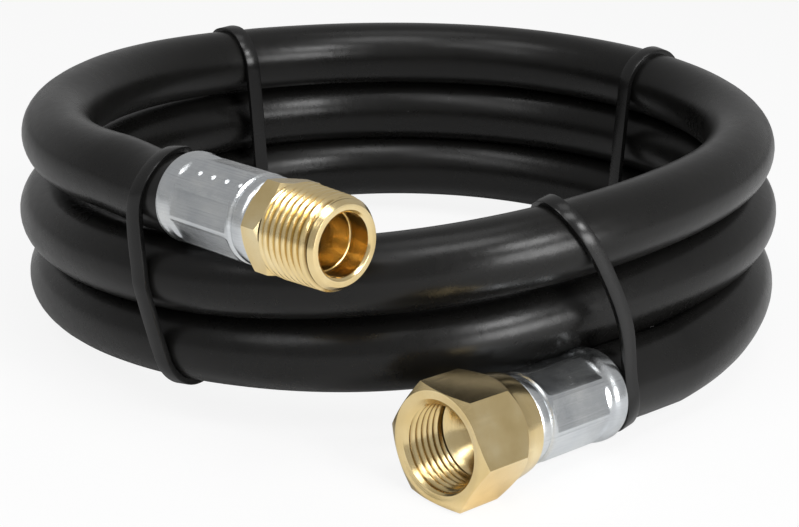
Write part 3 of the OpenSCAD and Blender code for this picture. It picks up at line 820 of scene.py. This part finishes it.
def make_tie(name, spec):
    """A strap round the turns, with its head, the ramp into the head and the cut tail."""
    mid, out, up, across = tie_frame(spec)
    turns = hose_crossings(spec)
    points, normals = loop_at(turns, 0.04)
    tie_w, drifts = DRIFTS[name]
    level = Vector((across.x, across.y, 0))

    def world(x, y, z, at=None):
        """A point of the tie's own frame, moved as the strap drifts there, or at a given place."""
        dx, dy = at or (x, y)
        return place(mid + x * out + y * up + z * across + drift(drifts, dx, dy) * level)

    half, t, soft = tie_w / 2, TIE_T, 0.28
    section = [(0.0, -half + 0.15), (0.12, -half), (t - soft, -half), (t - 0.08, -half + 0.08),
               (t, -half + soft), (t, half - soft), (t - 0.08, half - 0.08), (t - soft, half),
               (0.12, half), (0.0, half - 0.15)]
    bm = bmesh.new()
    rows = []
    for (x, y), (nx, ny) in zip(points, normals):
        rows.append([world(x + h * nx, y + h * ny, z) for h, z in section])
    rows.append(rows[0])
    grid(bm, rows)
    # the head sits on the hidden side of the stack, between two turns
    side = spec[2]
    upper, lower = turns[1], turns[2]
    mx, my = (upper[0] + lower[0]) / 2, (upper[1] + lower[1]) / 2
    lie = atan2(lower[0] - upper[0], upper[1] - lower[1])
    ex = (cos(lie) * side, sin(lie) * side)
    ey = (-sin(lie), cos(lie))
    base = HOSE_R + 0.04 + TIE_T * 0.6

    def local(h, l, z):
        """h outwards from the strap's outer face, l along the strap, z across it."""
        return world(mx + (base + h) * ex[0] + l * ey[0], my + (base + h) * ex[1] + l * ey[1], z,
                     (mx + base * ex[0], my + base * ex[1]))

    hs = TIE_HEAD / 2

    def ring(shrink):
        """The head's section with soft corners, drawn in on every side, as (h, z)."""
        a, b, w = shrink, TIE_HEAD_H - shrink, hs - shrink
        c, d = 0.55, 0.55 * 0.3
        return [(a, -w + c), (a + d, -w + d), (a + c, -w), (b - c, -w), (b - d, -w + d), (b, -w + c),
                (b, w - c), (b - d, w - d), (b - c, w), (a + c, w), (a + d, w - d), (a, w - c)]

    # the head's faces, from end to end
    edge = [(0.0, 0.5), (0.06, 0.22), (0.35, 0.0)]
    rows = [[local(h, -hs + l, z) for h, z in ring(shrink)] for l, shrink in edge]
    rows += [[local(h, hs - l, z) for h, z in ring(shrink)] for l, shrink in reversed(edge)]
    grid(bm, rows)
    # its two ends, each with a slot for the strap
    slot_at, slot_h, slot_w = TIE_HEAD_H / 2 + 0.1, 0.85, half + 0.2
    hole = []
    for h, z in ring(0.5):
        hole.append((min(max(h, slot_at - slot_h), slot_at + slot_h), min(max(z, -slot_w), slot_w)))
    for l, inwards in ((-hs, 1), (hs, -1)):
        outer = [local(h, l, z) for h, z in ring(0.5)]
        inner = [local(h, l, z) for h, z in hole]
        deep = [local(h, l + inwards * 1.4, z) for h, z in hole]
        grid(bm, [outer, inner, deep])
        bm.faces.new([bm.verts.new(p) for p in deep])
    # ramp that joins the strap to the head
    rows = []
    for l, h in ((hs - 0.3, 2.2), (hs + 1.0, 1.5), (hs + 2.4, 0.75), (hs + 4.0, 0.25),
                 (hs + 5.5, 0.02)):
        corners = ((-0.3, -half), (h, -half), (h, half), (-0.3, half))
        rows.append([local(a, l, z) for a, z in corners])
    grid(bm, rows)
    # cut tail, 5 mm long, with nine teeth on its inner face
    teeth, wide, top = 9, half - 0.1, slot_at + TIE_T / 2
    rows = []
    for k in range(teeth * 2 + 1):
        l = -hs + 1.2 - k * (5.0 / (teeth * 2))
        low = slot_at - (TIE_T / 2 - (0.16 if k % 2 else 0.0))
        corners = ((low, -wide), (top, -wide), (top, wide), (low, wide))
        rows.append([local(a, l, z) for a, z in corners])
    grid(bm, rows)
    bm.faces.new([bm.verts.new(p) for p in rows[-1]])
    return finish_mesh(name + "_nylon", bm, NYLON, crease=35, merge=1e-6)


for node, spec in TIES.items():
    ob = make_tie(node, spec)
    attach(ob, "hose")
    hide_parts(node)

# the hidden layers keep their solids
for node, material in (("hose_braid", braid_material()), ("hose_liner", liner_material())):
    for material_slot in frame["nodes"][node].material_slots:
        material_slot.material = material


# ---------------------------------------------------------------- floor, lamps, world
def make_floor():
    me = bpy.data.meshes.new("floor")
    bm = bmesh.new()
    bmesh.ops.create_grid(bm, x_segments=8, y_segments=8, size=4.0)
    bm.to_mesh(me)
    bm.free()
    ob = bpy.data.objects.new("floor", me)
    bpy.context.scene.collection.objects.link(ob)
    ob.location.z = -0.0002
    n = Nodes("floor_white")
    mottle = n.noise(n.place(), 3.0, 2.0)
    base = n.mix(mottle, (0.86, 0.86, 0.86), (0.885, 0.885, 0.885))
    n.set(Base_Color=base, Roughness=0.65)
    # the camera sees a white floor that still keeps part of the shadow
    white = n.add("ShaderNodeEmission")
    white.inputs["Color"].default_value = (1, 1, 1, 1)
    white.inputs["Strength"].default_value = 1.0
    seen = n.add("ShaderNodeLightPath").outputs["Is Camera Ray"]
    share = n.add("ShaderNodeMixShader")
    n.link(n.math("MULTIPLY", seen, 0.88), share.inputs[0])
    n.link(n.bsdf.outputs[0], share.inputs[1])
    n.link(white.outputs[0], share.inputs[2])
    n.link(share.outputs[0], n.out.inputs[0])
    me.materials.append(n.mat)


def lamp(name, at, aim, size, power):
    data = bpy.data.lights.new(name, "AREA")
    data.shape, data.size, data.size_y = "RECTANGLE", size[0], size[1]
    data.energy = power
    ob = bpy.data.objects.new(name, data)
    bpy.context.scene.collection.objects.link(ob)
    ob.location = at
    way = Vector(aim) - Vector(at)
    ob.rotation_euler = way.to_track_quat("-Z", "Y").to_euler()


def make_world():
    """White to the camera and through glass; a plain grey to the rest, brighter in reflections."""
    world = bpy.data.worlds.new("studio")
    bpy.context.scene.world = world
    world.use_nodes = True
    tree = world.node_tree
    tree.nodes.clear()
    out = tree.nodes.new("ShaderNodeOutputWorld")
    plain, white = tree.nodes.new("ShaderNodeBackground"), tree.nodes.new("ShaderNodeBackground")
    plain.inputs["Color"].default_value = (1, 1, 1, 1)
    white.inputs["Color"].default_value = (1, 1, 1, 1)
    white.inputs["Strength"].default_value = 1.0
    path = tree.nodes.new("ShaderNodeLightPath")
    glossy = math_node(tree, "MULTIPLY", path.outputs["Is Glossy Ray"], 0.33)
    tree.links.new(math_node(tree, "ADD", 0.12, glossy), plain.inputs["Strength"])
    seen = math_node(tree, "MAXIMUM", path.outputs["Is Camera Ray"],
                     path.outputs["Is Transmission Ray"])
    mix = tree.nodes.new("ShaderNodeMixShader")
    tree.links.new(seen, mix.inputs[0])
    tree.links.new(plain.outputs[0], mix.inputs[1])
    tree.links.new(white.outputs[0], mix.inputs[2])
    tree.links.new(mix.outputs[0], out.inputs[0])


make_floor()
make_world()
# lamps 0.9 m from a point in the coil: bearing (degrees from +X), rise, size in metres, watts
LAMPS_AIM = Vector((0, 0, 0.03))
for name, bearing, rise, size, power in (
        ("right_front", -44, 11, (0.4, 0.3), 4.6),
        ("front_high", -46, 38, (0.22, 0.2), 2.8),
        ("overhead", -70, 66, (0.4, 0.26), 1.9),
        ("front_middle", -112, 46, (0.25, 0.25), 0.8),
        ("left_front", -132, 36, (0.3, 0.3), 0.7),
        ("left_high", -150, 60, (0.25, 0.25), 1.0),
        ("top", 90, 84, (0.35, 0.35), 0.6)):
    lamp(name, 0.9 * pointing(radians(bearing), rise) + LAMPS_AIM, LAMPS_AIM, size, power)
bpy.context.scene.view_settings.view_transform = "Standard"
